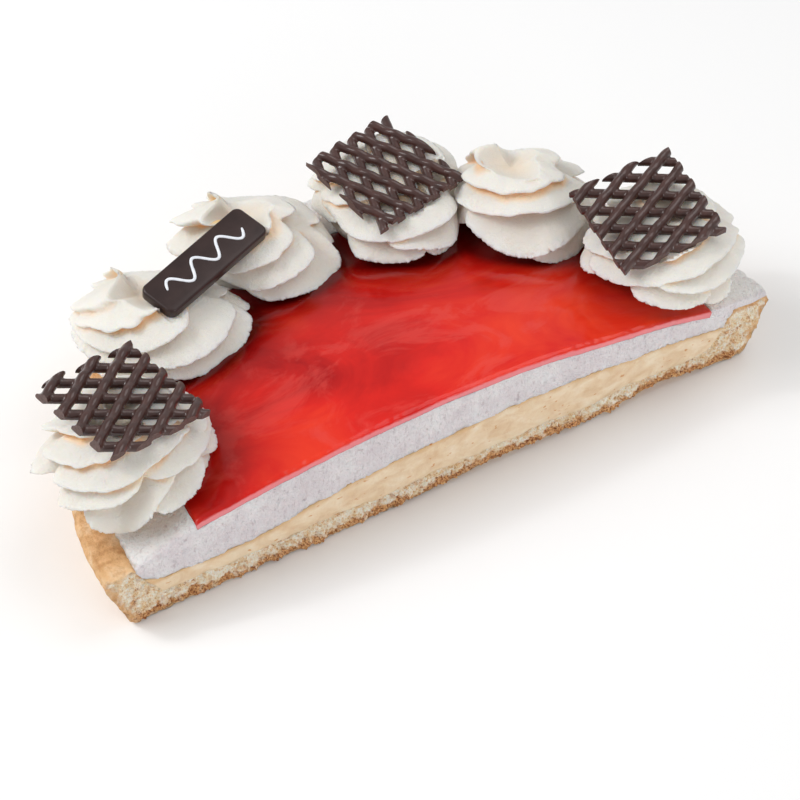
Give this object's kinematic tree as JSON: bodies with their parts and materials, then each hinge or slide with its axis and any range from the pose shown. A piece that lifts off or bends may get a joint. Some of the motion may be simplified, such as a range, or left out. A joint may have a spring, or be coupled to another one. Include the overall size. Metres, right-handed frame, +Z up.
{
  "type": "strawberry bavarois vlaai",
  "caption": "Halved round tart: yeast crust, custard, domed bavarois under red glaze, piped cream rosettes, chocolate lattices and a plain chocolate plaque.",
  "frame": {"origin": "middle of the bounding box at its underside, on the surface the tart stands on", "axes": "+X along the straight cut from the left end to the right end as the cut is seen, +Y away from the cut into the tart, +Z up"},
  "size_m": [0.2826, 0.1456, 0.0732],
  "materials": {
    "crust": "baked dough, pale crumb at the cut, golden brown outside",
    "custard": "baked custard, soft satin cut",
    "bavarois": "pale pink mousse with fine pores",
    "glaze": "glossy translucent red jelly",
    "cream": "whipped cream, matt",
    "chocolate": "satin dark chocolate"
  },
  "bodies": {
    "root": {"crust": "crust", "custard": "custard", "bavarois": "bavarois", "glaze": "glaze", "rosette_1": "cream", "rosette_2": "cream", "rosette_3": "cream", "rosette_4": "cream", "rosette_5": "cream", "rosette_6": "cream", "lattice_1": "chocolate", "lattice_2": "chocolate", "lattice_3": "chocolate", "plaque": "chocolate"}
  },
  "joints": []
}
